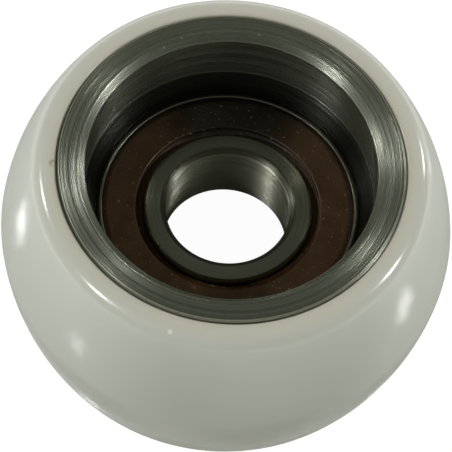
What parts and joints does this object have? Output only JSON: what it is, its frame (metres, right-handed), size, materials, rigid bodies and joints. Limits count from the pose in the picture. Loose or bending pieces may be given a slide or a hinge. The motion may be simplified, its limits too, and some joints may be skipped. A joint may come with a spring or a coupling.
{
  "type": "garage door roller",
  "caption": "Ball-shaped door roller: a white nylon tyre on a turned steel sleeve, with a sealed ball bearing recessed deep between its two ends.",
  "frame": {"origin": "centre of the ball bearing, which is also the centre of the whole roller", "axes": "+Z along the axle; both ends are alike; X and Y are across the roller"},
  "size_m": [0.0548, 0.0548, 0.03],
  "materials": {
    "nylon": "milky white moulded nylon, low gloss, lightly scuffed",
    "turned_steel": "lathe-turned bright steel with fine circular tool marks",
    "bearing_steel": "ground bearing steel",
    "seal_rubber": "rust-brown moulded rubber, slightly mottled",
    "cage_steel": "pressed strip steel",
    "ball_steel": "polished bearing steel"
  },
  "bodies": {
    "root": {"tyre": "nylon", "sleeve": "turned_steel", "outer_ring": "bearing_steel", "seal_upper": "seal_rubber", "seal_lower": "seal_rubber"},
    "inner": {"inner_ring": "bearing_steel"},
    "cage": {"cage_upper": "cage_steel", "cage_lower": "cage_steel", "cage_rivets": "cage_steel"},
    "ball_01": {"ball_01": "ball_steel"},
    "ball_02": {"ball_02": "ball_steel"},
    "ball_03": {"ball_03": "ball_steel"},
    "ball_04": {"ball_04": "ball_steel"},
    "ball_05": {"ball_05": "ball_steel"},
    "ball_06": {"ball_06": "ball_steel"},
    "ball_07": {"ball_07": "ball_steel"},
    "ball_08": {"ball_08": "ball_steel"},
    "ball_09": {"ball_09": "ball_steel"}
  },
  "joints": [
    {"name": "axle_spin", "type": "hinge", "parent": "root", "child": "inner", "pos_m": [0, 0, 0], "axis": [0, 0, 1], "continuous": true},
    {"name": "cage_spin", "type": "hinge", "parent": "root", "child": "cage", "pos_m": [0, 0, 0], "axis": [0, 0, 1], "continuous": true},
    {"name": "ball_01_spin", "type": "hinge", "parent": "cage", "child": "ball_01", "pos_m": [0.01175, 0, 0], "axis": [0, 0, 1], "continuous": true},
    {"name": "ball_02_spin", "type": "hinge", "parent": "cage", "child": "ball_02", "pos_m": [0.009, 0.00755, 0], "axis": [0, 0, 1], "continuous": true},
    {"name": "ball_03_spin", "type": "hinge", "parent": "cage", "child": "ball_03", "pos_m": [0.00204, 0.01157, 0], "axis": [0, 0, 1], "continuous": true},
    {"name": "ball_04_spin", "type": "hinge", "parent": "cage", "child": "ball_04", "pos_m": [-0.00588, 0.01018, 0], "axis": [0, 0, 1], "continuous": true},
    {"name": "ball_05_spin", "type": "hinge", "parent": "cage", "child": "ball_05", "pos_m": [-0.01104, 0.00402, 0], "axis": [0, 0, 1], "continuous": true},
    {"name": "ball_06_spin", "type": "hinge", "parent": "cage", "child": "ball_06", "pos_m": [-0.01104, -0.00402, 0], "axis": [0, 0, 1], "continuous": true},
    {"name": "ball_07_spin", "type": "hinge", "parent": "cage", "child": "ball_07", "pos_m": [-0.00588, -0.01018, 0], "axis": [0, 0, 1], "continuous": true},
    {"name": "ball_08_spin", "type": "hinge", "parent": "cage", "child": "ball_08", "pos_m": [0.00204, -0.01157, 0], "axis": [0, 0, 1], "continuous": true},
    {"name": "ball_09_spin", "type": "hinge", "parent": "cage", "child": "ball_09", "pos_m": [0.009, -0.00755, 0], "axis": [0, 0, 1], "continuous": true}
  ],
  "couplings": [
    {"joint": "cage_spin", "follows": "axle_spin", "ratio": 0.39872},
    {"joint": "ball_01_spin", "follows": "axle_spin", "ratio": -2.3672},
    {"joint": "ball_02_spin", "follows": "axle_spin", "ratio": -2.3672},
    {"joint": "ball_03_spin", "follows": "axle_spin", "ratio": -2.3672},
    {"joint": "ball_04_spin", "follows": "axle_spin", "ratio": -2.3672},
    {"joint": "ball_05_spin", "follows": "axle_spin", "ratio": -2.3672},
    {"joint": "ball_06_spin", "follows": "axle_spin", "ratio": -2.3672},
    {"joint": "ball_07_spin", "follows": "axle_spin", "ratio": -2.3672},
    {"joint": "ball_08_spin", "follows": "axle_spin", "ratio": -2.3672},
    {"joint": "ball_09_spin", "follows": "axle_spin", "ratio": -2.3672}
  ]
}
